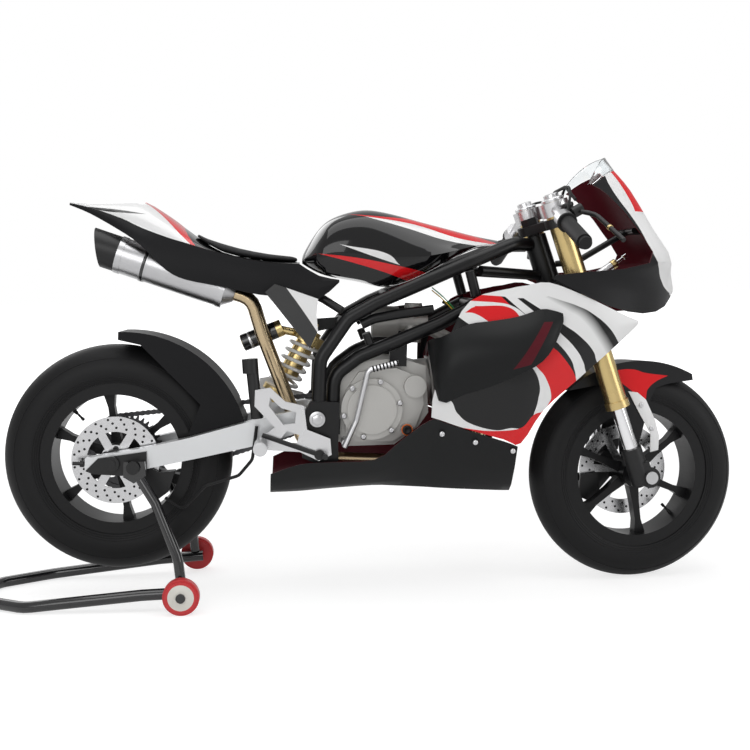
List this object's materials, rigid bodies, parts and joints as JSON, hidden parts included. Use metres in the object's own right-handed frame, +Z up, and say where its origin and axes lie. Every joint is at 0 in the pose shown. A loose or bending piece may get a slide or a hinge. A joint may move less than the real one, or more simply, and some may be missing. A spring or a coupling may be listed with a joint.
{
  "type": "racing pit bike on a rear paddock stand",
  "caption": "Small road-racing pit bike with full fairing, clip-on bars and cast wheels, held upright by a rear paddock stand under its swingarm spools.",
  "frame": {"origin": "on the floor, at the middle of the length and width", "axes": "+X forwards to the front wheel, +Y to the rider's left, +Z up"},
  "size_m": [1.7309, 0.6502, 0.9527],
  "materials": {
    "frame_black": "satin",
    "swingarm_alloy": "polished",
    "steel": "brushed",
    "engine_alloy": "cast",
    "black_alloy": "satin",
    "gold_alloy": "anodised",
    "chrome": "polished",
    "pipe_steel": "heat tinted",
    "tank_black": "gloss",
    "seat_foam": "matte",
    "body_white": "gloss",
    "body_black": "matte",
    "body_red": "gloss",
    "clear": "clear",
    "tyre": "matte",
    "rubber": "matte",
    "spring_white": "gloss",
    "stand_black": "gloss",
    "wheel_red": "satin"
  },
  "bodies": {
    "chassis": {"frame_rails": "frame_black", "frame_brackets": "frame_black", "seat_frame": "frame_black", "swingarm": "swingarm_alloy", "pivot_shaft": "steel", "engine_case": "engine_alloy", "engine_covers": "engine_alloy", "engine_cylinder": "engine_alloy", "kick_lever": "steel", "carburettor": "engine_alloy", "exhaust_pipe": "pipe_steel", "silencer_can": "steel", "silencer_tip": "black_alloy", "rear_axle": "black_alloy", "rear_caliper": "black_alloy", "rear_brake_hose": "rubber", "rear_hugger": "body_black", "shock_absorber": "gold_alloy", "shock_spring": "spring_white", "rearsets": "black_alloy", "brake_pedal": "black_alloy", "gear_lever": "black_alloy", "tank": "tank_black", "seat_pad": "seat_foam", "tail_hump": "body_white", "tail_flanks": "body_black", "side_fins": "body_black", "fairing_right": "body_red", "fairing_left": "body_red", "scoop_right": "body_black", "scoop_left": "body_black", "belly_pan": "body_black", "nose_cowl": "body_black", "windscreen": "clear", "fairing_stay": "frame_black", "front_sprocket": "steel", "chain": "steel", "stand_frame": "stand_black"},
    "rear_wheel": {"rear_tyre": "tyre", "rear_rim": "black_alloy", "rear_disc": "steel", "rear_sprocket": "steel"},
    "steering": {"triple_clamps": "black_alloy", "fork_tubes": "gold_alloy", "fork_sliders": "chrome", "fork_feet": "black_alloy", "clip_ons": "black_alloy", "grips": "rubber", "levers": "engine_alloy", "front_fender": "body_black", "front_caliper": "gold_alloy", "front_axle": "steel", "front_brake_hose": "rubber"},
    "front_wheel": {"front_tyre": "tyre", "front_rim": "black_alloy", "front_disc": "steel"},
    "stand_wheel_r": {"stand_wheel_right": "wheel_red"},
    "stand_wheel_l": {"stand_wheel_left": "wheel_red"}
  },
  "joints": [
    {"name": "rear_spin", "type": "hinge", "parent": "chassis", "child": "rear_wheel", "pos_m": [-0.532, 0, 0.31], "axis": [0, 1, 0], "continuous": true},
    {"name": "steer", "type": "hinge", "parent": "chassis", "child": "steering", "pos_m": [0.58107, 0, 0.22584], "axis": [-0.3014, 0, 0.9535], "range_deg": [-28.5, 15.5]},
    {"name": "front_spin", "type": "hinge", "parent": "steering", "child": "front_wheel", "pos_m": [0.6256, 0.00532, 0.23991], "axis": [-0.1079, 0.9936, -0.0341], "continuous": true},
    {"name": "stand_spin_right", "type": "hinge", "parent": "chassis", "child": "stand_wheel_r", "pos_m": [-0.386, -0.195, 0.0385], "axis": [0, 1, 0], "continuous": true},
    {"name": "stand_spin_left", "type": "hinge", "parent": "chassis", "child": "stand_wheel_l", "pos_m": [-0.386, 0.195, 0.0385], "axis": [0, 1, 0], "continuous": true}
  ]
}
